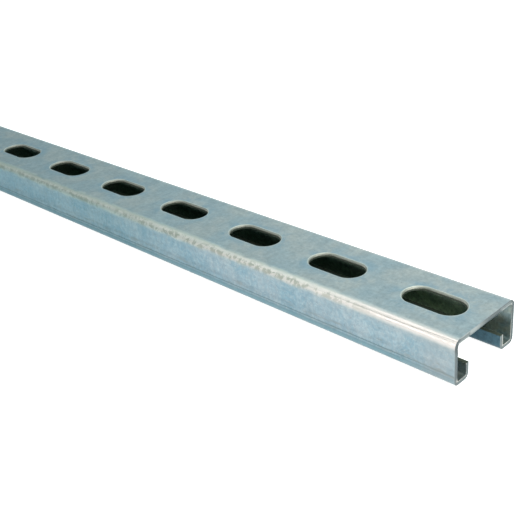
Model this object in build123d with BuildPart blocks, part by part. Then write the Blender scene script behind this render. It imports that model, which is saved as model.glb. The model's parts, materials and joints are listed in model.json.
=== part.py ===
"""A length of slotted strut channel.

One strip of pre-galvanised steel, roll-formed into a shallow C: a flat web with a row of
punched slots, two walls, and two flanges that turn in and back up into lips.
The channel lies on its flanges with the web on top.
"""

import os

from build123d import *

# ---------------------------------------------------------------- driving sizes, in mm
channel_length = 609.6  # a two-foot piece
channel_width = 41.3  # over the walls
channel_height = 20.6  # flange face to back of web
sheet_thickness = 1.9  # 14 gauge

mouth_width = 22.2  # gap between the lips, which a nut or bolt goes in through
lip_height = 7.1  # from the flange face to the edge of the lip
web_inside_radius = 1.4  # bend between web and wall
flange_inside_radius = 0.8  # bends between wall and flange, and flange and lip

slot_length = 28.6  # end to end
slot_width = 14.3
slot_pitch = 50.8
first_slot = 23.7  # right-hand cut end to the centre of the first slot
slot_edge_slope = 0.4  # how far the punch draws down the edge of each slot as it enters

# ---------------------------------------------------------------- sizes that follow
web_outside_radius = web_inside_radius + sheet_thickness
flange_outside_radius = flange_inside_radius + sheet_thickness
slot_count = int((channel_length - 2 * first_slot) // slot_pitch) + 1


def strip_face_points():
    """The corners of the strip's outer face, from the edge of one lip round to the other."""
    mouth = mouth_width / 2
    wall = channel_width / 2
    left_half = [(-mouth, lip_height), (-mouth, 0), (-wall, 0), (-wall, channel_height)]
    return left_half + [(-y, z) for y, z in reversed(left_half)]


# ---------------------------------------------------------------- the channel
with BuildPart() as strut_channel:
    # The section is the strip's outer face, bent to its outside radii and thickened inwards.
    with BuildSketch(Plane.YZ) as section:
        with BuildLine() as strip:
            bends = [flange_outside_radius] * 2 + [web_outside_radius] * 2 + [flange_outside_radius] * 2
            FilletPolyline(*strip_face_points(), radius=bends)
            offset(amount=sheet_thickness, side=Side.RIGHT, closed=True)
        make_face()
    extrude(amount=channel_length / 2, both=True)

    # Slots are punched along the middle of the web, one pitch apart.
    middle_slot = channel_length / 2 - first_slot - (slot_count - 1) * slot_pitch / 2
    web_back = Plane.XY.offset(channel_height)
    with BuildSketch(web_back) as slots:
        with Locations((middle_slot, 0)):
            with GridLocations(slot_pitch, slot_pitch, slot_count, 1):
                SlotOverall(slot_length, slot_width)
    extrude(amount=-sheet_thickness, mode=Mode.SUBTRACT)

    # The punch draws the steel down a little as it enters, so each slot's upper edge slopes in.
    punched_face = strut_channel.faces().sort_by(Axis.Z)[-1]
    slot_edges = [edge for wire in punched_face.inner_wires() for edge in wire.edges()]
    chamfer(slot_edges, length=slot_edge_slope)

strut_channel.part.label = "strut_channel"

os.makedirs("parts", exist_ok=True)
export_step(strut_channel.part, "parts/strut_channel.step")
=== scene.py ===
# %% [markdown]
# # A length of slotted strut channel
#
# This lesson dresses one piece of roll-formed steel. The real thing starts as a coil of
# thin strip that already has its zinc coat. A press punches the row of slots, a line of
# rollers folds the strip into a shallow C with its edges turned in, and a blade crops it.
# Each of those steps leaves its own mark, and the marks are what make a plain grey bar
# look like steel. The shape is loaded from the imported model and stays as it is, so the
# work here is in the finish, the burr on the cut ends, the light and the camera.

import json
import math
import random
from types import SimpleNamespace

import bpy
from mathutils import Euler, Matrix, Vector


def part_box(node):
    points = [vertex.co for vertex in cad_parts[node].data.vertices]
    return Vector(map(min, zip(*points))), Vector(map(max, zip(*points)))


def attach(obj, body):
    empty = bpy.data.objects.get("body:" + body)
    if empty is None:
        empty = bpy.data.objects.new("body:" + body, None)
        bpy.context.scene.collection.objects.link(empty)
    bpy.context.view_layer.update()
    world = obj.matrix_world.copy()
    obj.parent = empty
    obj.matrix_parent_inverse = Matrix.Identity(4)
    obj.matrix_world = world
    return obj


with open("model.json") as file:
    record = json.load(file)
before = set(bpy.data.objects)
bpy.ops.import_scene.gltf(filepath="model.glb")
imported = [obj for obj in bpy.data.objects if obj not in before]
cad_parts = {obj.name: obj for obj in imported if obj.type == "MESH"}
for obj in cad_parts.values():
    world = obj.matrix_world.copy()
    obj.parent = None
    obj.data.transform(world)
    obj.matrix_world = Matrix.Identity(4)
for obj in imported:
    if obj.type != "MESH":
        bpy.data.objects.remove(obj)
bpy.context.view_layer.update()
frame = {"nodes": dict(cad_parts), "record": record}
channel = frame["nodes"]["strut_channel"]
half_length, half_width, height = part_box("strut_channel")[1]
print("half length, half width and height:", [round(v, 4) for v in (half_length, half_width, height)])

# %% The sizes of the folded strip, in metres
MM = 0.001
sheet = 1.9 * MM
mouth_half = 11.1 * MM  # from the middle to the gap face of a lip
lip_top = 7.1 * MM
web_bend = 3.3 * MM  # outside radius between web and wall
flange_bend = 2.7 * MM  # outside radius between wall and flange, and flange and lip
first_pair = next(mount for mount in frame["record"]["mounts"] if mount["kind"] == "bolt_pattern")
slot_half_width = first_pair["dims"]["hole_r_mm"] * MM
print("a slot is", 2 * slot_half_width / MM, "mm wide and", first_pair["dims"]["slot_length_mm"], "mm long")

# %% The same sizes in millimetres, for the nodes
end_mm = half_length / MM
side_mm = half_width / MM
top_mm = height / MM
under_mm = (height - sheet) / MM  # the inner face of the web
gap_mm = mouth_half / MM
lip_mm = lip_top / MM
print("the web's inner face is", round(under_mm, 2), "mm up")

# %% [markdown]
# ## Which face gets which finish
#
# The zinc is on both faces of the strip, and it was there before the punch, the shears and
# the blade cut through it. So the real object has four finishes: the handled outside skin,
# the duller inside skin, the sheared edges of slots and lips, and the cut ends. One could
# paint them with masks in a single material. Giving each face of the mesh its own material
# slot is simpler to read and to export, and a face's middle and its normal say which it is.

# %% Sorting the faces
OUTSIDE, INSIDE, SHEARED, CUT = range(4)


def is_in_hollow(place):
    """True inside the C: between its walls, under its web, and above or between its flanges."""
    side = abs(place.y)
    over_a_flange = place.z > sheet or side < mouth_half
    return side < half_width - sheet and place.z < height - sheet and over_a_flange


def finish_of(face):
    """The finish of one face of the channel."""
    close = 0.1 * MM
    middle, normal = face.center, face.normal
    if abs(normal.x) > 0.99 and abs(middle.x) > half_length - close:
        return CUT
    on_lip_edge = normal.z > 0.99 and abs(middle.z - lip_top) < close
    in_the_row = abs(middle.y) < slot_half_width + close and middle.z > height - sheet
    if on_lip_edge or in_the_row and abs(normal.z) < 0.2:
        return SHEARED
    just_outside = middle + 0.4 * MM * normal
    return INSIDE if is_in_hollow(just_outside) else OUTSIDE


finishes = [finish_of(face) for face in channel.data.polygons]
print("faces outside, inside, sheared and cut:", [finishes.count(kind) for kind in range(4)])

# %% [markdown]
# ## A short way to write nodes
#
# Every finish below is a small network of nodes. Written out in full, each node takes
# four or five lines, and the idea gets lost. These helpers add a node and set or link its
# sockets in one line, and make node groups with named inputs and outputs. They come in
# three layers: plain nodes, masks made from nodes, and textures and colours. What more than
# one finish needs goes into a group, so that it is tuned in one place.

# %% Adding and linking nodes
class Nodes:
    """Adds nodes to one tree. A number given for a socket is set on it, and a socket is linked."""

    def __init__(self, tree):
        self.tree = tree

    def feed(self, socket, value):
        if isinstance(value, bpy.types.NodeSocket):
            self.tree.links.new(value, socket)
        else:
            socket.default_value = value

    def add(self, kind, sockets=None, **options):
        """Adds a node. Sockets go by name or number, and options are the node's own settings."""
        node = self.tree.nodes.new("ShaderNode" + kind)
        for option, value in options.items():
            setattr(node, option, value)
        for name, value in (sockets or {}).items():
            self.feed(node.inputs[name], value)
        return node

    def math(self, operation, *values):
        return self.add("Math", dict(enumerate(values)), operation=operation).outputs[0]

    def use(self, group, **sockets):
        """Places a node group, and gives its outputs."""
        node = self.tree.nodes.new("ShaderNodeGroup")
        node.node_tree = group
        for name, value in sockets.items():
            self.feed(node.inputs[name.replace("_", " ")], value)
        return node.outputs


def public(kind):
    """The names of a class's own helpers."""
    return [name for name in vars(kind) if not name.startswith("_")]


print("helpers for nodes:", public(Nodes))


# %% Masks
class Masks(Nodes):
    """Numbers that mostly run from 0 to 1, and say where a mark lies."""

    def times(self, first, *others):
        """The product of all the factors."""
        for other in others:
            first = self.math("MULTIPLY", first, other)
        return first

    def rise(self, value, start, end):
        """Goes smoothly from 0 at start to 1 at end, or falls if start is the larger."""
        sockets = {"Value": value, "From Min": start, "From Max": end}
        return self.add("MapRange", sockets, interpolation_type="SMOOTHSTEP").outputs["Result"]

    def near(self, value, level, reach, soft):
        """1 where the value is within reach of the level, falling to 0 over the soft distance."""
        away = self.math("ABSOLUTE", self.math("SUBTRACT", value, level))
        return self.rise(away, reach + soft, reach)

    def between(self, value, low, high):
        """Turns 0 to 1 into low to high."""
        sockets = {"Value": value, "To Min": low, "To Max": high}
        return self.add("MapRange", sockets).outputs["Result"]


print("helpers for masks:", public(Masks))


# %% Textures and colours
class Wiring(Masks):
    """The few textures, and the ways to lay on colour and relief, that the finishes use."""

    def noise(self, place, scale, detail=3.0, roughness=0.5, distortion=0.0):
        sockets = {"Vector": place, "Scale": scale, "Detail": detail, "Roughness": roughness,
                   "Distortion": distortion}
        return self.add("TexNoise", sockets).outputs["Fac"]

    def cells(self, place, scale):
        """A Voronoi texture: the distance from the nearest cell's middle, and a chance for each cell."""
        sockets = {"Vector": place, "Scale": scale, "Randomness": 1.0}
        outputs = self.add("TexVoronoi", sockets).outputs
        chance = self.add("SeparateColor", {0: outputs["Color"]}).outputs[0]
        return outputs["Distance"], chance

    def stretch(self, place, scale, turn=0.0):
        """Scales a place on each axis, and turns it about Z."""
        sockets = {"Vector": place, "Rotation": (0.0, 0.0, turn), "Scale": scale}
        return self.add("Mapping", sockets).outputs["Vector"]

    def tint(self, factor, under, over, way="MIX"):
        """Lays the colour over on the colour under. A colour is a socket, or red, green and blue."""
        under, over = (paint if isinstance(paint, bpy.types.NodeSocket) else (*paint, 1.0)
                       for paint in (under, over))
        node = self.add("Mix", {0: factor, 6: under, 7: over}, data_type="RGBA", blend_type=way)
        return node.outputs[2]

    def millimetres(self, place):
        """The three parts of a place in metres, in millimetres."""
        scaled = self.add("VectorMath", {0: place, "Scale": 1 / MM}, operation="SCALE")
        return self.add("SeparateXYZ", {0: scaled.outputs[0]}).outputs

    def bump(self, relief, distance, strength=0.6):
        """A normal with the relief in it. The distance is how high a relief of 1 stands, in metres."""
        return self.add("Bump", {"Height": relief, "Distance": distance, "Strength": strength}).outputs[0]


print("helpers for textures and colours:", public(Wiring))


# %% New groups and new materials
def new_group(name, inputs, outputs):
    """Makes an empty node group. Gives its wiring, what comes in, and what goes out.

    An input is a number, or a vector where its default is None. An output is a number,
    apart from Strip, which is a vector.
    """
    tree = bpy.data.node_groups.new(name, "ShaderNodeTree")
    for label, default in inputs.items():
        kind = "NodeSocketVector" if default is None else "NodeSocketFloat"
        socket = tree.interface.new_socket(name=label, in_out="INPUT", socket_type=kind)
        if default is not None:
            socket.default_value = default
    for label in outputs:
        kind = "NodeSocketVector" if label == "Strip" else "NodeSocketFloat"
        tree.interface.new_socket(name=label, in_out="OUTPUT", socket_type=kind)
    wiring = Wiring(tree)
    given = tree.nodes.new("NodeGroupInput").outputs
    result = tree.nodes.new("NodeGroupOutput").inputs
    return wiring, given, result


def new_material(name, **constants):
    """Makes a material with plain constants on its own sockets. Gives it, its wiring and its shader."""
    material = bpy.data.materials.new(name)
    material.use_nodes = True
    shader = material.node_tree.nodes["Principled BSDF"]
    for socket, value in constants.items():
        shader.inputs[socket.replace("_", " ")].default_value = value
    return material, Wiring(material.node_tree), shader


print("materials so far:", len(bpy.data.materials), "and groups:", len(bpy.data.node_groups))

# %% [markdown]
# ## Laying marks on the unrolled strip
#
# Roller marks and scratches went onto the strip along its skin, so they run straight on
# from the web, round the bend and down the wall. Object coordinates would smear them where
# a face turns. This group unrolls the section: along is the distance down the length, and
# across is the distance over the skin from the middle of the web, both in millimetres.

# %% Node group: the unrolled strip
def make_unrolled_strip():
    inputs = {"Object place": None, "Height": top_mm}
    outputs = ("Strip", "Along", "Side", "Across", "Up")
    wiring, given, result = new_group("Unrolled strip", inputs, outputs)
    parts = wiring.millimetres(given["Object place"])
    down = wiring.math("SUBTRACT", given["Height"], parts["Z"])
    over_the_edge = wiring.times(wiring.math("SIGN", parts["Y"]), down)
    across = wiring.math("ADD", parts["Y"], over_the_edge)
    strip = wiring.add("CombineXYZ", {"X": parts["X"], "Y": across}).outputs[0]
    wiring.feed(result["Strip"], strip)
    wiring.feed(result["Along"], parts["X"])
    wiring.feed(result["Side"], parts["Y"])
    wiring.feed(result["Across"], wiring.math("ABSOLUTE", across))
    wiring.feed(result["Up"], parts["Z"])
    return wiring.tree


unrolled_strip = make_unrolled_strip()
print("made", unrolled_strip.name)

# %% [markdown]
# ## Clouds and frost in the zinc
#
# A strip that is galvanised in a continuous line comes out of the zinc with soft clouds,
# some a warmer grey and some a colder blue, a few millimetres to a few centimetres wide.
# Handling then breaks the shine up into pale wisps, like frost on a window. Three noises do
# it: a wide one for the tone of a whole stretch, a finer one for patches, and a strongly
# distorted one of which only the level line at one half is kept. Level lines curl and
# close on themselves, which is just how the wisps look. A painted texture could do it too,
# but it would blur close up and repeat along the length.

# %% Node group: zinc clouds
def make_zinc_clouds():
    inputs = {"Strip": None, "Patch": 6.0}
    wiring, given, result = new_group("Zinc clouds", inputs, ("Cloud", "Patches", "Frost"))
    per_mm = wiring.math("DIVIDE", 1.0, given["Patch"])
    wide = wiring.noise(given["Strip"], wiring.times(per_mm, 0.3), detail=2.0)
    fine = wiring.noise(given["Strip"], per_mm, detail=4.0, roughness=0.6, distortion=0.6)
    tall = wiring.stretch(given["Strip"], (1.0, 0.55, 1.0))
    curls = wiring.noise(tall, wiring.times(per_mm, 0.9), detail=3.0, roughness=0.6, distortion=1.8)
    wiring.feed(result["Cloud"], wiring.rise(wide, 0.38, 0.62))
    wiring.feed(result["Patches"], wiring.rise(fine, 0.38, 0.62))
    wiring.feed(result["Frost"], wiring.near(curls, 0.5, 0.01, 0.06))
    return wiring.tree


zinc_clouds = make_zinc_clouds()
print("made", zinc_clouds.name)

# %% [markdown]
# ## Grain
#
# Seen close, both skins have a fine grain, where the zinc froze on the moving strip. It
# changes the tone and the relief together, and outside the gloss too. Separate noises
# would never line up, so one noise feeds them all. Both skins use it, so it is a group,
# with the size of the grain as an input.

# %% Node group: zinc grain
def make_zinc_grain():
    inputs = {"Strip": None, "Per millimetre": 0.55}
    wiring, given, result = new_group("Zinc grain", inputs, ("Grain",))
    grain = wiring.noise(given["Strip"], given["Per millimetre"], detail=5.0, roughness=0.75)
    wiring.feed(result["Grain"], grain)
    return wiring.tree


zinc_grain = make_zinc_grain()
print("made", zinc_grain.name)

# %% [markdown]
# ## Streaks and scratches
#
# The rollers leave faint lines along the strip and a fine chatter across it, and handling
# adds short scratches in every direction. Drawing them one by one would take for ever. A
# streak is a noise squeezed hard in one direction. A scratch is one cell of a Voronoi
# texture stretched until the spot at its middle becomes a thin dash, and three turned
# copies keep them from lining up.

# %% Node group: streaks
def make_streaks():
    inputs = {"Strip": None, "Spacing": 1.0, "Run": 40.0, "Crosswise": 0.0}
    wiring, given, result = new_group("Streaks", inputs, ("Streak",))
    parts = wiring.add("SeparateXYZ", {0: given["Strip"]}).outputs
    is_cross = given["Crosswise"]
    fine = wiring.math("DIVIDE", 1.0, given["Spacing"])
    long = wiring.math("DIVIDE", 1.0, given["Run"])
    along_scale = wiring.add("Mix", {0: is_cross, 2: long, 3: fine}).outputs[0]
    across_scale = wiring.add("Mix", {0: is_cross, 2: fine, 3: long}).outputs[0]
    x = wiring.times(parts["X"], along_scale)
    y = wiring.times(parts["Y"], across_scale)
    place = wiring.add("CombineXYZ", {"X": x, "Y": y}).outputs[0]
    wiring.feed(result["Streak"], wiring.noise(place, 1.0, detail=3.0, roughness=0.6))
    return wiring.tree


streaks = make_streaks()
print("made", streaks.name)


# %% Node group: scratches
def make_scratches():
    inputs = {"Strip": None, "Length": 9.0, "Amount": 0.3}
    wiring, given, result = new_group("Scratches", inputs, ("Scratch",))
    per_length = wiring.math("DIVIDE", 1.0, given["Length"])
    all_dashes = 0.0
    for turn, thinness in ((0.35, 22.0), (-0.6, 30.0), (1.25, 26.0)):
        turned = wiring.stretch(given["Strip"], (1.0, thinness, 1.0), turn)
        distance, chance = wiring.cells(turned, per_length)
        dash = wiring.rise(distance, 0.16, 0.05)
        kept = wiring.math("LESS_THAN", chance, given["Amount"])
        all_dashes = wiring.math("MAXIMUM", all_dashes, wiring.times(dash, kept))
    wiring.feed(result["Scratch"], all_dashes)
    return wiring.tree


scratches = make_scratches()
print("made", scratches.name)

# %% [markdown]
# ## The rubbed bend
#
# The bend between web and wall is pressed hardest by the rollers and is what a stack of channels rubs on,
# so it is the brightest line of the object: partly rubbed pale zinc and partly painted highlight. Where it
# is clean, near the cut end, two near-white painted highlights run along it with a darker line between
# them. Other stretches are broken into pale flecks with olive gaps, and their cream is painted brighter
# towards the lamps at the cut end and darker on the bend's lower half, as painted light and shade. The
# group measures how far a point is round the bend, in millimetres from its middle, with the web above 0 and
# the wall below. That works on the flats beside it too, so the band can fade out over them. A mask painted
# on the mesh couldn't do this, because the bend has no vertices along its length.

# %% Where a point is round the bend, and where the bend is worn
BEND_INPUTS = {"Object place": None, "Centre side": 17.35, "Centre up": 17.3, "Clean from": 215.0,
               "Far side": 0.3}
BEND_OUTPUTS = ("Band", "Lines", "Seam", "Upper", "Lower", "Flecks", "Worn", "Painted light")


def distance_round(wiring, given, parts):
    """How far a point is round the bend from its middle: above 0 towards the web."""
    out = wiring.math("SUBTRACT", wiring.math("ABSOLUTE", parts["Y"]), given["Centre side"])
    up = wiring.math("SUBTRACT", parts["Z"], given["Centre up"])
    return wiring.times(wiring.math("SUBTRACT", up, out), math.sqrt(0.5))


def worn_from(wiring, given, along, stretches):
    """1 where the bend is worn, beyond a border that wanders a few centimetres."""
    wander, fade = 25.0, 30.0
    start = wiring.math("ADD", given["Clean from"], wiring.between(stretches, -wander, wander))
    return wiring.rise(wiring.math("SUBTRACT", along, start), fade, -fade)


print("the bend's masks:", BEND_OUTPUTS)


# %% The rubbed band, and the lines in it
def rubbed_band(wiring, around, flecks, ragged, worn):
    """1 on the band. Both its edges are ragged, and straighter where the bend is clean."""
    edge = wiring.math("ADD", wiring.between(flecks, -0.45, 0.45), wiring.between(ragged, -1.3, 1.3))
    edge = wiring.times(edge, wiring.between(worn, 0.3, 1.0))
    on_web_side = wiring.rise(wiring.math("ADD", around, edge), 3.1, 0.9)
    on_wall_side = wiring.rise(wiring.math("SUBTRACT", around, edge), -3.0, -1.1)
    return wiring.times(on_web_side, on_wall_side)


line_place, dark_line_place = 1.05, -0.2  # from the bend's middle, in millimetres


def bright_lines(wiring, around):
    return wiring.near(wiring.math("ABSOLUTE", around), line_place, 0.45, 0.38)


def dark_line_between(wiring, around, past_clean):
    """The darker line between the two painted highlights, which drifts off the middle near the cut end."""
    drift = wiring.times(wiring.rise(past_clean, 26.0, 52.0), 0.8)
    return wiring.near(wiring.math("SUBTRACT", around, drift), dark_line_place, 0.05, 0.22)


print("the bright lines lie", line_place, "mm to each side of the middle")


# %% Node group: rubbed bend
def make_rubbed_highlit_bend():
    wiring, given, result = new_group("Rubbed and highlit bend", BEND_INPUTS, BEND_OUTPUTS)
    parts = wiring.millimetres(given["Object place"])
    around = distance_round(wiring, given, parts)

    # The two bends are 80 mm apart in the noise, which keeps them from having the same flecks.
    own_place = wiring.times(wiring.math("SIGN", parts["Y"]), 40.0)
    place = wiring.add("CombineXYZ", {"X": parts["X"], "Y": around, "Z": own_place}).outputs[0]
    flecks = wiring.noise(place, 0.32, detail=4.0, roughness=0.65, distortion=0.5)
    ragged = wiring.noise(wiring.stretch(place, (0.10, 0.35, 1.0)), 1.0, detail=4.0, roughness=0.6)
    stretches = wiring.noise(wiring.stretch(place, (0.010, 0.0, 1.0)), 1.0, detail=1.0)

    worn = worn_from(wiring, given, parts["X"], stretches)
    steady = wiring.between(wiring.rise(stretches, 0.35, 0.6), 0.75, 1.0)
    wiring.feed(result["Worn"], wiring.times(worn, steady))
    past_clean = wiring.math("SUBTRACT", parts["X"], given["Clean from"])
    # Painted light: the worn bend's cream is painted brighter towards the lamps at the cut end.
    wiring.feed(result["Painted light"], wiring.rise(past_clean, -230.0, 20.0))

    one_side = wiring.between(wiring.rise(parts["Y"], -5.0, 5.0), 1.0, given["Far side"])
    band = rubbed_band(wiring, around, flecks, ragged, worn)
    wiring.feed(result["Band"], wiring.times(band, one_side))
    wiring.feed(result["Lines"], bright_lines(wiring, around))
    wiring.feed(result["Seam"], dark_line_between(wiring, around, past_clean))

    broken = wiring.between(wiring.rise(ragged, 0.35, 0.6), 0.45, 1.0)
    wiring.feed(result["Upper"], wiring.times(wiring.rise(around, -0.6, 0.9), broken))
    wiring.feed(result["Lower"], wiring.rise(around, 0.4, -1.4))
    below_the_top = wiring.rise(around, 1.9, 0.3)
    wiring.feed(result["Flecks"], wiring.times(wiring.rise(flecks, 0.45, 0.54), below_the_top))
    return wiring.tree


rubbed_highlit_bend = make_rubbed_highlit_bend()
print("made", rubbed_highlit_bend.name)

# %% [markdown]
# ## The rim of each slot
#
# The punch drags the zinc down as it enters, which leaves a polished rim round each slot; its thin pale
# line is a painted highlight for the light that the rounded edge catches, and a faint blue shadow of oil
# lies outside it. A ring of faces round each slot could carry them, but only with hard borders. This group
# folds the whole row onto one slot and measures the distance to its outline, so one formula serves every
# slot.

# %% Node group: distance from the nearest slot
pitch = first_pair["dims"]["spacing_x_mm"]
slot_length = first_pair["dims"]["slot_length_mm"]
a_slot_middle = first_pair["pos_m"][0] / MM + pitch / 2


def make_slot_distance():
    inputs = {"Object place": None, "A slot": 0.0, "Pitch": 50.8, "Half straight": 7.15, "Radius": 7.15}
    wiring, given, result = new_group("Slot distance", inputs, ("Outside",))
    parts = wiring.millimetres(given["Object place"])
    from_a_slot = wiring.math("SUBTRACT", parts["X"], given["A slot"])
    folded = wiring.math("PINGPONG", from_a_slot, wiring.times(given["Pitch"], 0.5))
    past_straight = wiring.math("MAXIMUM", wiring.math("SUBTRACT", folded, given["Half straight"]), 0.0)
    corner = wiring.add("CombineXYZ", {"X": past_straight, "Y": parts["Y"]}).outputs[0]
    from_axis = wiring.add("VectorMath", {0: corner}, operation="LENGTH").outputs["Value"]
    wiring.feed(result["Outside"], wiring.math("SUBTRACT", from_axis, given["Radius"]))
    return wiring.tree


slot_distance = make_slot_distance()
print("slots are", pitch, "mm apart, one of them at", round(a_slot_middle, 2), "mm")

# %% [markdown]
# ## Roller marks on the wall
#
# The wall isn't one flat tone. Its top is painted paler where it leaves the bend, as a painted sheen. Lower
# down the roller pressed a shallow step, and then two thin dark lines just above the lower bend, which run
# the whole length. They could be grooves in the mesh, but they are no deeper than the zinc. As they only
# depend on the height on the wall, a few masks will do.

# %% Node group: roller marks
def make_roller_marks():
    inputs = {"Up": 10.0, "Wobble": 0.5}
    wiring, given, result = new_group("Roller marks", inputs, ("Painted sheen", "Step", "Dull", "Line", "Low"))
    level = wiring.math("ADD", given["Up"], wiring.between(given["Wobble"], -0.4, 0.4))
    # Painted sheen: the top of the wall is painted paler where it leaves the bend.
    wiring.feed(result["Painted sheen"], wiring.rise(level, 13.5, 18.5))
    step_top, step_foot = 9.2, 7.6
    under_step = wiring.rise(level, step_top, step_foot)
    wiring.feed(result["Step"], under_step)

    upper_line_at, lower_line_at = 4.9, 3.5
    upper_line = wiring.near(level, upper_line_at, 0.10, 0.32)
    lower_line = wiring.times(wiring.near(level, lower_line_at, 0.05, 0.30), 0.6)
    wiring.feed(result["Line"], wiring.math("MAXIMUM", upper_line, lower_line))
    wiring.feed(result["Low"], wiring.rise(level, 4.6, 3.2))

    ridge_at = 6.2
    ridge = wiring.times(wiring.near(level, ridge_at, 0.2, 0.8), -0.16)
    dull = wiring.math("ADD", wiring.times(under_step, 0.30), ridge)
    lowest = wiring.times(wiring.rise(level, 4.6, 3.8), 0.20)
    wiring.feed(result["Dull"], wiring.math("ADD", dull, lowest))
    return wiring.tree


roller_marks = make_roller_marks()
print("made", roller_marks.name)

# %% [markdown]
# ## The outside skin: where a point is
#
# Every layer of the outside skin asks the same things of a point: is it on the web or on
# the wall, how far along, how far from a slot, how far round a bend? Asking once and
# handing the answers round keeps the node tree small, and the layers short.

# %% Where a point of the outside skin is
CLEAN_RUN = 52.0  # how far the bend stays clean from the cut end


def find_on_skin(wiring):
    """The masks and distances that the layers need, by name."""
    place = wiring.add("TexCoord").outputs["Object"]
    strip = wiring.use(unrolled_strip, Object_place=place, Height=top_mm)
    skin = strip["Strip"]
    on_wall = wiring.rise(strip["Across"], side_mm - 1.0, side_mm + 3.0)
    on_web = wiring.math("SUBTRACT", 1.0, on_wall)
    grain = wiring.use(zinc_grain, Strip=skin, Per_millimetre=0.55)["Grain"]
    radius = slot_half_width / MM
    from_slot = wiring.use(slot_distance, Object_place=place, A_slot=a_slot_middle, Pitch=pitch,
                           Half_straight=slot_length / 2 - radius, Radius=radius)["Outside"]
    bend = wiring.use(rubbed_highlit_bend, Object_place=place, Centre_side=(half_width - web_bend) / MM,
                      Centre_up=(height - web_bend) / MM, Clean_from=end_mm - CLEAN_RUN, Far_side=0.3)
    return SimpleNamespace(
        skin=skin, along=strip["Along"], on_wall=on_wall, on_web=on_web, grain=grain, bend=bend,
        # Where the foot of the wall gets a pale painted reflection of the floor.
        foot=wiring.rise(strip["Up"], 1.8, 1.0),
        clouds=wiring.use(zinc_clouds, Strip=skin, Patch=6.0),
        scratch=wiring.use(scratches, Strip=skin, Length=12.0, Amount=0.45)["Scratch"],
        rolled=wiring.use(roller_marks, Up=strip["Up"], Wobble=grain),
        from_slot=from_slot,
        drawn_down=wiring.times(wiring.rise(from_slot, 0.5, 0.3), on_web))


print("the near bend is clean from", round(end_mm - CLEAN_RUN, 1), "mm on")

# %% [markdown]
# ## The outside skin: the zinc
#
# Zinc is a metal, so nearly all of its colour is reflection: the Metallic socket is high,
# and the base colour says how much of each colour is thrown back. The layers go on as they
# did in the works: the zinc with its clouds, then the roller marks and smudges, the slots'
# rims and the rubbed bends. Each layer is a short function that takes the colour so far and
# gives the next one, so a layer can be changed or left out alone.

# %% Layer: the zinc
WARM_WEB, COLD_WEB = (0.440, 0.447, 0.430), (0.368, 0.420, 0.435)
# Painted shade: the walls are the web's zinc painted darker and bluer, for the dimmer, bluer light that
# they reflect.
SHADED_BLUE_WALL, SHADED_PALE_WALL = (0.184, 0.290, 0.348), (0.245, 0.322, 0.364)
BLUE_PATCH, FROST = (0.185, 0.295, 0.360), (0.370, 0.410, 0.425)


def lay_zinc(wiring, at):
    """The zinc with warmer and colder clouds; on the walls the same zinc is painted darker and bluer, as
    painted shade.
    """
    web = wiring.tint(at.clouds["Cloud"], WARM_WEB, COLD_WEB)
    wall = wiring.tint(at.clouds["Cloud"], SHADED_BLUE_WALL, SHADED_PALE_WALL)
    colour = wiring.tint(at.on_wall, web, wall)
    blue = wiring.times(at.clouds["Patches"], wiring.between(at.on_wall, 0.22, 0.40))
    colour = wiring.tint(blue, colour, BLUE_PATCH)
    wisps = wiring.times(at.clouds["Frost"], wiring.between(at.on_wall, 0.22, 0.28))
    return wiring.tint(wisps, colour, FROST)


print("the web's zinc, warm and cold:", WARM_WEB, COLD_WEB)

# %% [markdown]
# ## The outside skin: rolling and smudges
#
# The rollers leave a faint grain and bands, which only change how much is thrown back, so
# they multiply the colour. Oil and dirt cover the zinc, so smudges, the roller's lines and
# the dark spots are colours laid over it. Most of that is low on the wall and by the ends.

# %% Layer: the shade of rolling
def grey(wiring, shade):
    """The same number in all three channels, to multiply a colour by."""
    return wiring.add("CombineColor", {0: shade, 1: shade, 2: shade}).outputs[0]


GRAIN_SHADE, LINE_SHADE, BAND_SHADE = 0.12, 0.025, 0.04  # how much each takes away or adds


def shaded(wiring, texture, low, high, amount):
    """A factor near 1 that follows a texture between two of its levels."""
    return wiring.between(wiring.rise(texture, low, high), 1.0 - amount, 1.0 + amount)


def shade_by_rolling(wiring, colour, at):
    """Grain, fine lines along the strip and broad bands across it, and the duller lower wall."""
    lines = wiring.use(streaks, Strip=at.skin, Spacing=1.1, Run=90.0, Crosswise=0.0)["Streak"]
    bands = wiring.use(streaks, Strip=at.skin, Spacing=4.0, Run=25.0, Crosswise=1.0)["Streak"]
    shade = wiring.times(shaded(wiring, at.grain, 0.32, 0.68, GRAIN_SHADE),
                         shaded(wiring, lines, 0.3, 0.7, LINE_SHADE),
                         shaded(wiring, bands, 0.3, 0.7, BAND_SHADE))
    dull = wiring.times(at.rolled["Dull"], at.on_wall, 0.36)
    shade = wiring.times(shade, wiring.math("SUBTRACT", 1.0, dull))
    return wiring.tint(1.0, colour, grey(wiring, shade), "MULTIPLY")


print("grain, lines and bands change the zinc by", (GRAIN_SHADE, LINE_SHADE, BAND_SHADE))

# %% Layer: marks on the wall
SMUDGE, LOW_WALL, ROLLER_LINE = (0.182, 0.208, 0.208), (0.130, 0.250, 0.296), (0.088, 0.156, 0.182)
GREY_END, PAINTED_TOP_SHEEN = (0.260, 0.276, 0.281), (0.333, 0.343, 0.338)


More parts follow.
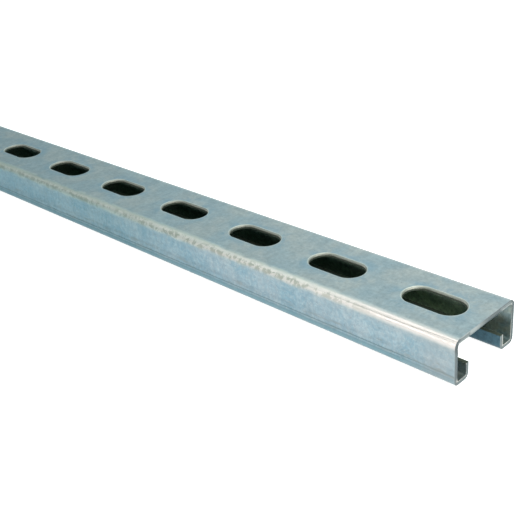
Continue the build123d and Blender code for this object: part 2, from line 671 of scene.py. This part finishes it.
def lay_wall_marks(wiring, colour, at):
    """Smudges, the roller's lines, the greyer end, and a painted sheen on the top of the wall."""
    rolled, on_wall = at.rolled, at.on_wall
    smudges = wiring.use(streaks, Strip=at.skin, Spacing=2.2, Run=12.0, Crosswise=0.0)["Streak"]
    by_the_end = wiring.rise(wiring.math("ABSOLUTE", at.along), end_mm - 28.0, end_mm - 8.0)
    lowest = wiring.between(by_the_end, 0.35, 0.85)
    amount = wiring.times(rolled["Step"], wiring.between(rolled["Low"], lowest, 0.1))
    amount = wiring.math("ADD", 0.1, amount)
    smudge = wiring.times(wiring.rise(smudges, 0.52, 0.63), on_wall, amount)
    colour = wiring.tint(smudge, colour, SMUDGE)
    low = wiring.times(rolled["Low"], on_wall, wiring.between(by_the_end, 0.65, 0.35))
    colour = wiring.tint(low, colour, LOW_WALL)
    colour = wiring.tint(wiring.times(rolled["Line"], on_wall, 0.75), colour, ROLLER_LINE)
    colour = wiring.tint(wiring.times(by_the_end, on_wall, 0.35), colour, GREY_END)
    # Painted sheen on the top of the wall, weaker where the bend is worn, away from the lamps at the cut
    # end.
    pale = wiring.times(rolled["Painted sheen"], on_wall, wiring.between(at.bend["Worn"], 0.55, 0.22))
    return wiring.tint(pale, colour, PAINTED_TOP_SHEEN)


print("a smudge is", SMUDGE, "and the roller's lines are", ROLLER_LINE)

# %% Layers: spots and scratches
DARK_SPOT, BRIGHT_SPOT = (0.125, 0.146, 0.151), (0.406, 0.426, 0.416)
BARE_SCRATCH = (0.520, 0.560, 0.560)


def lay_spots(wiring, colour, at):
    """Small dark and bright spots, picked by chance from the cells of a Voronoi texture."""
    distance, chance = wiring.cells(at.skin, 0.55)
    spot = wiring.rise(distance, 0.26, 0.12)
    dark = wiring.times(spot, wiring.math("LESS_THAN", chance, 0.14), 0.30)
    bright = wiring.times(spot, wiring.math("GREATER_THAN", chance, 0.90), 0.35)
    colour = wiring.tint(dark, colour, DARK_SPOT)
    return wiring.tint(bright, colour, BRIGHT_SPOT)


def lay_scratches(wiring, colour, at):
    lit_scratch = wiring.times(at.scratch, wiring.between(at.on_wall, 0.50, 0.38))
    return wiring.tint(lit_scratch, colour, BARE_SCRATCH)


print("a scratch is", BARE_SCRATCH)

# %% [markdown]
# ## The outside skin: rims, bends and edges
#
# The rims and the bends come next, because they are polished through whatever lay on the zinc, and their
# pale colour is partly painted highlight. Away from the cut end the walls and the lower half of the bend
# are multiplied by a darker blue tint, which is painted shade, as the lamps hang by the cut end. At the
# very foot of the wall a pale painted reflection of the floor goes on last.

# %% Layer: rims
OIL, DRAWN_DOWN, RIM_HIGHLIGHT = (0.245, 0.374, 0.461), (0.360, 0.390, 0.350), (0.640, 0.650, 0.590)


def lay_rims(wiring, colour, at):
    """A painted highlight on a thin rim round each slot, the drawn-down edge inside it, and blue oil
    outside.
    """
    oil = wiring.times(wiring.rise(at.from_slot, 7.0, 0.8), at.on_web, at.clouds["Patches"])
    colour = wiring.tint(wiring.times(oil, 0.45), colour, OIL)
    colour = wiring.tint(wiring.times(at.drawn_down, 0.85), colour, DRAWN_DOWN)
    # Painted highlight: the rim's pale line stands for the light its rounded edge catches.
    rim = wiring.times(wiring.near(at.from_slot, 0.45, 0.12, 0.25), at.on_web)
    return wiring.tint(wiring.times(rim, 0.6), colour, RIM_HIGHLIGHT)


print("a rim is", RIM_HIGHLIGHT)

# %% Layer: rubbed bends and painted highlights
# Painted highlight: the clean bend's near-white lines stand for lamp highlights, with a darker line between
# them.
CLEAN_HIGHLIGHT, CLEAN_BEND_HIGHLIGHT, DARK_LINE = (0.905, 0.836, 0.797), (0.886, 0.817, 0.778), (0.413, 0.384, 0.354)
# Lit and shaded copies of the worn cream and flecks, mixed by painted light along the length.
OLIVE_GAP, SHADED_CREAM, LIT_CREAM = (0.511, 0.541, 0.462), (0.728, 0.748, 0.659), (0.886, 0.866, 0.797)
SHADED_FLECK, LIT_FLECK = (0.787, 0.797, 0.719), (0.984, 0.954, 0.895)
LOWER_HALF_SHADE = (0.62, 0.62, 0.62)


def lay_bends(wiring, colour, at):
    """Two painted highlights with a darker line between them where a bend is clean, and cream with pale
    flecks where it is worn, painted brighter towards the cut end and darker on its lower half.
    """
    bend = at.bend
    clean = wiring.tint(bend["Lines"], CLEAN_HIGHLIGHT, CLEAN_BEND_HIGHLIGHT)
    clean = wiring.tint(wiring.times(bend["Seam"], 0.6), clean, DARK_LINE)
    cream = wiring.tint(bend["Painted light"], SHADED_CREAM, LIT_CREAM)
    worn = wiring.tint(bend["Upper"], OLIVE_GAP, cream)
    fleck = wiring.tint(bend["Painted light"], SHADED_FLECK, LIT_FLECK)
    worn = wiring.tint(bend["Flecks"], worn, fleck)
    rubbed = wiring.tint(bend["Worn"], clean, worn)
    # Painted shade on the lower half of the bend.
    lower = wiring.times(bend["Lower"], wiring.between(bend["Worn"], 0.45, 1.0))
    rubbed = wiring.tint(lower, rubbed, LOWER_HALF_SHADE, "MULTIPLY")
    return wiring.tint(wiring.times(bend["Band"], 0.9), colour, rubbed)


print("the clean bend is", CLEAN_BEND_HIGHLIGHT)

# %% Layer: far shade and foot
# Painted shade: away from the cut end the walls and the lower half of the bend are multiplied darker and
# bluer, as if further from the lamps.
FAR_SHADE, FOOT_REFLECTION = (0.625, 0.775, 0.790), (0.500, 0.530, 0.540)
FAR_SHADE_STARTS, FAR_SHADE_IS_FULL = 120.0, 230.0  # from the cut end


def lay_far_shade_and_foot(wiring, colour, at):
    """Painted shade away from the cut end, and a pale painted reflection of the floor at the foot of the
    wall.
    """
    far_shade = wiring.rise(at.along, end_mm - FAR_SHADE_STARTS, end_mm - FAR_SHADE_IS_FULL)
    far_shaded = wiring.times(far_shade, wiring.math("MAXIMUM", at.on_wall, at.bend["Lower"]))
    colour = wiring.tint(far_shaded, colour, FAR_SHADE, "MULTIPLY")
    return wiring.tint(at.foot, colour, FOOT_REFLECTION)


print("the film starts", FAR_SHADE_STARTS, "mm from the cut end")

# %% [markdown]
# ## The outside skin: putting it together
#
# The layers go on in order, and make the colour. Roughness follows the zinc's patches and
# drops where a bend is polished. A Bump node turns the grain, the dents of the worn bend
# and the scratches into relief, a few hundredths of a millimetre deep. They could be cut
# into the mesh, but so shallow a relief would need millions of faces.

# %% Roughness and relief
def roughness_of_skin(wiring, at):
    rough = wiring.between(at.clouds["Patches"], 0.38, 0.46)
    rough = wiring.math("ADD", rough, wiring.between(at.grain, -0.05, 0.05))
    polished = wiring.times(at.bend["Lines"], wiring.between(at.bend["Worn"], 0.08, 0.0))
    rough = wiring.math("SUBTRACT", rough, polished)
    return wiring.math("ADD", rough, wiring.times(at.drawn_down, 0.25))


def relief_of_skin(wiring, at):
    dents = wiring.times(at.bend["Flecks"], at.bend["Worn"], at.bend["Band"], 1.5)
    marks = wiring.math("SUBTRACT", dents, at.scratch)
    return wiring.math("ADD", wiring.times(at.grain, 0.9), marks)


skin_relief = 0.06 * MM
print("a relief of 1 stands", round(skin_relief / MM, 3), "mm high")


# %% Material: galvanised skin
def make_outside_skin():
    material, wiring, shader = new_material("galvanised_skin")
    at = find_on_skin(wiring)
    colour = lay_zinc(wiring, at)
    for lay in (shade_by_rolling, lay_wall_marks, lay_spots, lay_scratches, lay_rims, lay_bends, lay_far_shade_and_foot):
        colour = lay(wiring, colour, at)
    wiring.feed(shader.inputs["Base Color"], colour)
    # The rubbed band scatters light more than a clean mirror would, so it is less metallic, and so is the
    # foot of the wall, whose pale colour is painted reflection.
    rubbed = wiring.math("MAXIMUM", at.bend["Band"], at.foot)
    wiring.feed(shader.inputs["Metallic"], wiring.between(rubbed, 0.92, 0.60))
    wiring.feed(shader.inputs["Roughness"], roughness_of_skin(wiring, at))
    wiring.feed(shader.inputs["Normal"], wiring.bump(relief_of_skin(wiring, at), skin_relief))
    return material


outside_skin = make_outside_skin()
print("made", outside_skin.name, "with", len(outside_skin.node_tree.nodes), "nodes")

# %% [markdown]
# ## The inside skin
#
# The inside has the same zinc, but nothing rubs it bright, and it keeps an olive coat of rolling oil and
# dust. Along the hollow its tone is painted light and shade: darker right at the open end, lighter a few
# centimetres in, and darker again deep in the hollow. The faces of the lips get a dark blue painted shade,
# and the -Y side is darker. It could be the outside material made darker. A material of its own is easier
# to tune, and it still shares the unrolled strip, clouds and grain with the outside.

# %% Material: inside skin
# Painted light and shade: the inside is painted darker at the open end, lighter a few centimetres in, and
# darker deep in the hollow.
SHADED_OLIVE_END, SHADED_BLUE_END = (0.380, 0.430, 0.385), (0.280, 0.370, 0.385)
LIT_OLIVE_WITHIN, LIT_GREEN_WITHIN = (0.520, 0.610, 0.490), (0.400, 0.480, 0.400)
HOLLOW_SHADE, LIP_SHADE = (0.220, 0.300, 0.245), (0.045, 0.095, 0.125)
MINUS_Y_SIDE_TONE = (0.72, 0.75, 0.80)


def make_inside_skin():
    material, wiring, shader = new_material("inside_skin", Metallic=0.9)
    place = wiring.add("TexCoord").outputs["Object"]
    strip = wiring.use(unrolled_strip, Object_place=place, Height=top_mm)
    clouds = wiring.use(zinc_clouds, Strip=strip["Strip"], Patch=5.0)
    grain = wiring.use(zinc_grain, Strip=strip["Strip"], Per_millimetre=0.6)["Grain"]
    from_middle = wiring.math("ABSOLUTE", strip["Along"])
    by_the_end = wiring.tint(clouds["Patches"], SHADED_OLIVE_END, SHADED_BLUE_END)
    within = wiring.tint(clouds["Patches"], LIT_OLIVE_WITHIN, LIT_GREEN_WITHIN)
    # Painted shade deep in the hollow.
    deep_in_hollow = wiring.rise(from_middle, end_mm - 30.0, end_mm - 110.0)
    within = wiring.tint(deep_in_hollow, within, HOLLOW_SHADE)
    colour = wiring.tint(wiring.rise(from_middle, end_mm - 9.0, end_mm - 26.0), by_the_end, within)
    # Darker on the -Y side.
    minus_y_side = wiring.rise(strip["Side"], -10.0, -13.0)
    colour = wiring.tint(minus_y_side, colour, MINUS_Y_SIDE_TONE, "MULTIPLY")
    # Painted shade on the faces of the lips, which look down at the shaded floor under the mouth.
    near_mouth = wiring.rise(wiring.math("ABSOLUTE", strip["Side"]), gap_mm + 1.2, gap_mm + 0.6)
    near_mouth = wiring.times(near_mouth, wiring.rise(strip["Up"], under_mm - 1.0, lip_mm))
    colour = wiring.tint(near_mouth, colour, LIP_SHADE)
    shade = shaded(wiring, grain, 0.3, 0.7, 0.25)
    colour = wiring.tint(1.0, colour, grey(wiring, shade), "MULTIPLY")
    wiring.feed(shader.inputs["Base Color"], colour)
    wiring.feed(shader.inputs["Roughness"], wiring.between(clouds["Cloud"], 0.36, 0.50))
    wiring.feed(shader.inputs["Normal"], wiring.bump(grain, 0.05 * MM))
    return material


inside_skin = make_inside_skin()
print("made", inside_skin.name, "with", len(inside_skin.node_tree.nodes), "nodes")

# %% [markdown]
# ## Sheared edges
#
# A punch cuts clean for the first part of its stroke and then the steel tears. So the edge of a slot has
# two bands: a smooth pale one under the rim and a dark rough one below it, whose darkness is partly the
# torn steel and partly painted shade inside the slot.
# Two strips of faces could carry them. But the border between the bands is ragged, which a
# noise added to the height gives for nothing, so one mask by height does both.

# %% Material: sheared edges
# The dark band is partly torn steel and partly painted shade inside the slot.
TORN_AND_SHADED, SHEARED_CLEAN = (0.075, 0.095, 0.075), (0.560, 0.570, 0.500)


def make_sheared_edge():
    material, wiring, shader = new_material("sheared_edge", Metallic=0.7)
    place = wiring.add("TexCoord").outputs["Object"]
    strip = wiring.use(unrolled_strip, Object_place=place, Height=top_mm)
    grain = wiring.use(streaks, Strip=strip["Strip"], Spacing=0.3, Run=4.0, Crosswise=1.0)["Streak"]
    tear = wiring.math("ADD", strip["Up"], wiring.between(grain, -0.4, 0.4))
    smooth = wiring.rise(tear, under_mm + 0.7, under_mm + 1.1)
    wiring.feed(shader.inputs["Base Color"], wiring.tint(smooth, TORN_AND_SHADED, SHEARED_CLEAN))
    wiring.feed(shader.inputs["Roughness"], wiring.between(smooth, 0.70, 0.45))
    wiring.feed(shader.inputs["Normal"], wiring.bump(grain, 0.04 * MM))
    return material


sheared_edge = make_sheared_edge()
print("made", sheared_edge.name, "with", len(sheared_edge.node_tree.nodes), "nodes")

# %% [markdown]
# ## The cut ends
#
# The last step crops the channel to length. The blade draws the outer edge down, rubs a
# grey band through the steel, and leaves a bright thin line along the inner edge. All of
# that follows the section round. Rings of faces could follow it too, but the mesh stays as
# it is. So the material works out how deep a point lies under the outer skin, as the
# smallest of its distances to the web, wall, flange and lip faces.

# %% How deep a point of the cut lies in the strip
def depth_in_strip(wiring, strip):
    """The distance from the outer skin, in millimetres, at a point of the cut."""
    side = wiring.math("ABSOLUTE", strip["Side"])
    under_web = wiring.math("SUBTRACT", top_mm, strip["Up"])
    from_wall = wiring.math("SUBTRACT", side_mm, side)
    over_the_lip = wiring.rise(strip["Up"], lip_mm, lip_mm + 1.0)
    from_gap = wiring.math("ADD", wiring.math("SUBTRACT", side, gap_mm), over_the_lip)
    depth = wiring.math("MINIMUM", wiring.math("MINIMUM", under_web, from_wall), strip["Up"])
    return wiring.math("MINIMUM", depth, from_gap)


print("the deepest point lies", round(sheet / MM, 2), "mm under the outer skin")

# %% [markdown]
# ## The face of the cut
#
# The blade wears more on one side than on the other, and the steel gives way differently
# in the web, the walls and the corners. So the plain grey of the cut, with its fine lines
# along the stroke, gets a few tones of its own by place: a torn and darker lower half, a
# rolled-over outer edge, darker walls and a dark near corner, and the bright inner line.

# %% The tones of the cut
CUT_DARK, CUT_PALE, TORN_HALF = (0.130, 0.155, 0.160), (0.185, 0.215, 0.225), (0.100, 0.125, 0.130)
EDGE_NEAR, EDGE_AWAY, EDGE_BELOW = (0.310, 0.340, 0.335), (0.085, 0.105, 0.110), (0.170, 0.210, 0.225)
NEAR_WALL, FAR_WALL, CORNER = (0.085, 0.110, 0.120), (0.045, 0.065, 0.070), (0.060, 0.075, 0.080)
LINE_ABOVE, LINE_BELOW = (0.310, 0.335, 0.330), (0.420, 0.425, 0.405)


def colour_of_cut(wiring, side, up, depth, cuts):
    """The colour of a point of the cut, by its place in the section and its depth in the strip."""
    colour = wiring.tint(cuts, CUT_DARK, CUT_PALE)
    torn = wiring.rise(up, top_mm - 2.0, top_mm - 5.0)
    colour = wiring.tint(wiring.times(torn, 0.5), colour, TORN_HALF)

    # The edge that the blade rolled over is palest on the near side of the web.
    away = wiring.rise(side, -8.0, 2.0)
    rolled_edge = wiring.tint(away, EDGE_NEAR, EDGE_AWAY)
    rolled_edge = wiring.tint(torn, rolled_edge, EDGE_BELOW)
    outermost = wiring.times(wiring.rise(depth, 0.50, 0.30), 0.8)
    colour = wiring.tint(outermost, colour, rolled_edge)

    near_wall = wiring.times(wiring.rise(side, -17.5, -19.0), wiring.rise(up, 2.0, 4.0))
    core = wiring.times(near_wall, wiring.rise(depth, 0.3, 0.7), 0.7)
    colour = wiring.tint(core, colour, NEAR_WALL)
    far_wall = wiring.times(wiring.rise(side, 17.5, 19.0), wiring.rise(depth, 0.2, 0.5), 0.8)
    colour = wiring.tint(far_wall, colour, FAR_WALL)
    corner = wiring.times(wiring.rise(side, -16.0, -18.0), wiring.rise(up, 14.5, 16.5), 0.8)
    colour = wiring.tint(corner, colour, CORNER)

    inner_line = wiring.times(wiring.rise(depth, 1.45, 1.65), wiring.between(near_wall, 1.0, 0.0))
    low = wiring.rise(up, 9.0, 7.0)
    return wiring.tint(inner_line, colour, wiring.tint(low, LINE_ABOVE, LINE_BELOW))


print("the cut is", CUT_DARK, "to", CUT_PALE)


# %% Material: cut ends
def make_cut_end():
    material, wiring, shader = new_material("cut_end", Metallic=0.9)
    place = wiring.add("TexCoord").outputs["Object"]
    strip = wiring.use(unrolled_strip, Object_place=place, Height=top_mm)
    cuts = wiring.noise(wiring.stretch(place, (1.0, 260.0, 2600.0)), 1.0, detail=3.0)
    blotch = wiring.noise(place, 700.0, detail=2.0)
    depth = wiring.math("ADD", depth_in_strip(wiring, strip), wiring.between(blotch, -0.25, 0.25))
    colour = colour_of_cut(wiring, strip["Side"], strip["Up"], depth, cuts)
    wiring.feed(shader.inputs["Base Color"], colour)
    wiring.feed(shader.inputs["Roughness"], wiring.between(cuts, 0.40, 0.52))
    wiring.feed(shader.inputs["Normal"], wiring.bump(cuts, 0.03 * MM, 0.5))
    return material


cut_end = make_cut_end()
print("made", cut_end.name, "with", len(cut_end.node_tree.nodes), "nodes")

# %% [markdown]
# ## The finishes go on
#
# A mesh keeps one list of materials, and each face keeps the number of its own. The four
# materials go into the list in the order of the numbers that the sorting gave out. Setting
# the faces one at a time would work, but foreach_set writes all their numbers at once.
# Clearing the old list sets every number back to 0, so they are written after it.

# %% The four finishes on the channel
channel.data.materials.clear()
for material in (outside_skin, inside_skin, sheared_edge, cut_end):
    channel.data.materials.append(material)
channel.data.polygons.foreach_set("material_index", finishes)
print("finishes:", [material.name for material in channel.data.materials])

# %% [markdown]
# ## The burr on the cut ends
#
# The blade goes in from the outside, so the last of the steel is torn off at the inner edge
# of the section and stays there as a burr: a ragged fin a tenth or two of a millimetre
# high, sharp enough to cut a hand and bright enough to draw a thin line round the hollow.
# A bump can't lift an edge, so the burr is real geometry. The path below walks the strip's
# inner face from lip to lip in small steps. Each step gets a small triangle of metal whose
# height comes from a random walk, with a fixed seed so that it is the same every time.

# %% Arcs
def arc(centre, radius, start, end, steps=4):
    """Points on an arc round centre (side, up), from the start angle to the end, in degrees."""
    angles = [start + (end - start) * step / steps for step in range(steps + 1)]
    return [Vector((centre[0] + radius * math.cos(math.radians(angle)),
                    centre[1] + radius * math.sin(math.radians(angle)))) for angle in angles]


print("a quarter of a circle has", len(arc((0.0, 0.0), 1.0, 0, 90)), "points")


# %% The path of the inner face
def inner_path():
    """The inner face of the strip in one section, as (side, up) points from lip to lip."""
    lip = mouth_half + sheet
    wall = half_width - sheet
    top = height - sheet
    tight = flange_bend - sheet
    wide = web_bend - sheet
    half = [Vector((lip, lip_top))]
    half += arc((lip + tight, sheet + tight), tight, 180, 270)
    half += arc((wall - tight, sheet + tight), tight, 270, 360)
    half += arc((wall - wide, top - wide), wide, 0, 90)
    return half + [Vector((-side, up)) for side, up in reversed(half)]


def walk(path, step):
    """The same path with a point every step, and the way out of the steel at each point."""
    places, outward = [], []
    for start, end in zip(path, path[1:]):
        run = end - start
        count = max(1, round(run.length / step))
        for number in range(count):
            places.append(start + run * number / count)
            outward.append(Vector((-run.y, run.x)).normalized())
    return places, outward


path = inner_path()
places, outward = walk(path, 0.35 * MM)
print("the inner face is", len(places), "steps long, and first faces", [round(v, 2) for v in outward[0]])

# %% The height of the burr
rng = random.Random(41)
SHORTEST, TALLEST, BROKEN_OFF = 0.03, 0.22, 0.02  # in millimetres


def ragged_heights(count):
    """Heights that wander between the shortest and the tallest, with a few bits broken off."""
    heights, level = [], 0.1
    for _ in range(count):
        level = min(TALLEST, max(SHORTEST, level + rng.uniform(-0.035, 0.035)))
        heights.append(level * MM if rng.random() > 0.08 else BROKEN_OFF * MM)
    return heights


print("the burr is", SHORTEST, "to", TALLEST, "mm high")


# %% The burr on each end
def add_burr(name, end_x):
    """A fin along the inner edge of the cut end at end_x. Its foot is sunk in the steel."""
    direction = math.copysign(1.0, end_x)
    foot, sunk = 0.16 * MM, 0.02 * MM
    base_x = end_x - direction * sunk
    points, faces = [], []
    for place, out, tall in zip(places, outward, ragged_heights(len(places))):
        tip = place + out * tall * 0.2
        points += [(base_x, *(place - out * foot)), (end_x + direction * tall, *tip), (base_x, *place)]
    for here in range(0, len(points) - 3, 3):
        for corner in range(3):
            after = (corner + 1) % 3
            faces.append((here + corner, here + after, here + 3 + after, here + 3 + corner))
    last = len(points) - 3
    faces += [(2, 1, 0), (last, last + 1, last + 2)]
    mesh = bpy.data.meshes.new(name)
    mesh.from_pydata(points, [], faces)
    mesh.materials.append(cut_end)
    burr = bpy.data.objects.new(name, mesh)
    bpy.context.collection.objects.link(burr)
    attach(burr, "root")
    print(name, "has", len(faces), "faces")


add_burr("burr_right_end", half_length)
add_burr("burr_left_end", -half_length)

# %% [markdown]
# ## The floor and what counts as seen
#
# The channel lies on a pale studio floor. A floor that is lit to white would need so much
# light that the zinc would burn out too. So the floor glows a little instead, but only for
# rays that look at it: straight, in a reflection or through glass. The Light Path node
# tells these from the rays that carry light on to other things. The zinc then isn't lit by
# the glow, and the soft shadow under the channel stays.

# %% Rays that look
LOOKING_RAYS = ("Is Camera Ray", "Is Glossy Ray", "Is Transmission Ray")


def seen_ray(wiring):
    """1 where a surface is looked at, straight, in a reflection or through glass."""
    path = wiring.add("LightPath").outputs
    straight, mirrored, through_glass = (path[ray] for ray in LOOKING_RAYS)
    return wiring.math("MAXIMUM", wiring.math("MAXIMUM", straight, mirrored), through_glass)


print("rays that look:", LOOKING_RAYS)


# %% The floor
def make_floor(glow):
    """A plain pale floor that glows for the rays that look at it."""
    bpy.ops.mesh.primitive_plane_add(size=20.0, location=(0.0, 0.0, -0.0001))
    floor = bpy.context.object
    floor.name = "floor"
    material, wiring, shader = new_material("pale_floor", Roughness=0.9, Specular_IOR_Level=0.0)
    shader.inputs["Base Color"].default_value = (0.82, 0.82, 0.82, 1.0)
    strength = wiring.times(seen_ray(wiring), glow)
    lift = wiring.add("Emission", {"Color": (1.0, 1.0, 1.0, 1.0), "Strength": strength})
    both = wiring.add("AddShader", {0: shader.outputs[0], 1: lift.outputs[0]})
    wiring.feed(wiring.tree.nodes["Material Output"].inputs["Surface"], both.outputs[0])
    floor.data.materials.append(material)
    return floor


floor = make_floor(glow=0.74)
print(floor.name, "is", floor.dimensions.x, "m wide")

# %% [markdown]
# ## The room around it
#
# Metal shows what stands around it, so the world matters as much as the lamps. A picture
# of a real studio could be wrapped round the scene. Two tones are easier to steer: one side
# of the room is bright and nearly white, and the rest is dim and blue-green, which gives
# the wall its cold tone. Near the horizon, where the floor ends, the world turns white for
# the rays that look, so that floor and room read as one pale backdrop.

# %% The world
BRIGHT_SIDE = (0.25, 0.95, 0.10)  # the direction of its middle
DIM_ROOM, BRIGHT_ROOM, WHITE = (0.28, 0.80, 0.90), (0.79, 0.97, 1.0), (1.0, 1.0, 1.0)


def make_world():
    """Blue-green all round, nearly white on the bright side, and white where it is the backdrop."""
    world = bpy.data.worlds.new("studio")
    world.use_nodes = True
    background = world.node_tree.nodes["Background"]
    sky = Wiring(world.node_tree)
    direction = sky.add("TexCoord").outputs["Generated"]
    toward = sky.add("VectorMath", {0: direction, 1: BRIGHT_SIDE}, operation="DOT_PRODUCT")
    lit = sky.rise(toward.outputs["Value"], -0.05, 0.60)
    room = sky.tint(lit, DIM_ROOM, BRIGHT_ROOM)
    upward = sky.add("SeparateXYZ", {0: direction}).outputs["Z"]
    backdrop = sky.times(seen_ray(sky), sky.rise(upward, 0.32, 0.22))
    sky.feed(background.inputs["Strength"], sky.between(backdrop, sky.between(lit, 0.18, 1.16), 1.0))
    sky.feed(background.inputs["Color"], sky.tint(backdrop, room, WHITE))
    return world


bpy.context.scene.world = make_world()
print("the room is brightest towards", BRIGHT_SIDE)

# %% [markdown]
# ## The lamps
#
# Four softboxes hang round the near end. A sun would light the whole length alike, but the
# real piece is brightest by its cut end and fades along its length, as it does near a soft
# lamp. The key is warm and close. The one above lights the web, the one in front the wall,
# and a narrow one between them draws the line along the worn part of the bend. An area
# lamp shines along its own -Z, so each is turned to look at its target.

# %% Softboxes
def add_softbox(name, offset, target, size, power, tone):
    """An area lamp at an offset from the near end, turned to its target."""
    lamp = bpy.data.lights.new(name, "AREA")
    lamp.shape = "RECTANGLE"
    lamp.size, lamp.size_y = size
    lamp.energy = power
    lamp.color = tone
    holder = bpy.data.objects.new(name, lamp)
    bpy.context.collection.objects.link(holder)
    holder.location = near_end + Vector(offset)
    holder.rotation_euler = (target - holder.location).to_track_quat("-Z", "Y").to_euler()
    print(name, "shines with", power, "W")


near_end = Vector((half_length, 0.0, height))
further_in = near_end + Vector((-0.2, 0.0, 0.0))
add_softbox("key", (0.20, -0.10, 0.32), near_end, (0.3, 0.3), 1.95, (1.0, 0.92, 0.84))
add_softbox("over", (-0.34, -0.12, 0.62), further_in, (0.5, 0.25), 0.70, (1.0, 0.94, 0.92))
add_softbox("middle", (-0.32, -0.375, 0.525), further_in, (0.3, 0.12), 0.16, (1.0, 0.94, 0.92))
add_softbox("front", (-0.34, -0.60, 0.27), further_in, (0.36, 0.25), 0.85, (1.0, 0.95, 0.92))

# %% [markdown]
# ## The camera
#
# The camera stands close to the cut end and looks down along the channel, so the row of
# slots runs away from it and the section shows at the end. It is held a few degrees off
# level, which tips the channel in the frame. Turning it in three plain steps, heading,
# pitch and roll, is easier to follow than three Euler angles found by trial.

# %% Camera
def add_camera(place, yaw, pitch, roll, lens):
    """A camera turned by its heading, its pitch below level and its roll, in degrees."""
    data = bpy.data.cameras.new("camera")
    data.lens = lens
    data.sensor_width = 36.0
    holder = bpy.data.objects.new("camera", data)
    bpy.context.collection.objects.link(holder)
    aim = Euler((math.radians(90.0 - pitch), 0.0, math.radians(-yaw))).to_matrix()
    tilt = Matrix.Rotation(math.radians(roll), 3, "Z")
    holder.matrix_world = Matrix.Translation(place) @ (aim @ tilt).to_4x4()
    bpy.context.scene.camera = holder


stand = near_end + Vector((0.1606, -0.2639, 0.1884))
add_camera(stand, yaw=-47.25, pitch=27.24, roll=-5.33, lens=64.05)
bpy.context.scene.view_settings.view_transform = "Standard"
print("the camera is", round((stand - near_end).length, 3), "m from the near end")

# %% [markdown]
# ## Sizes, and the end
#
# Dressing a part must not change its size. The box of the imported model was measured at the start.
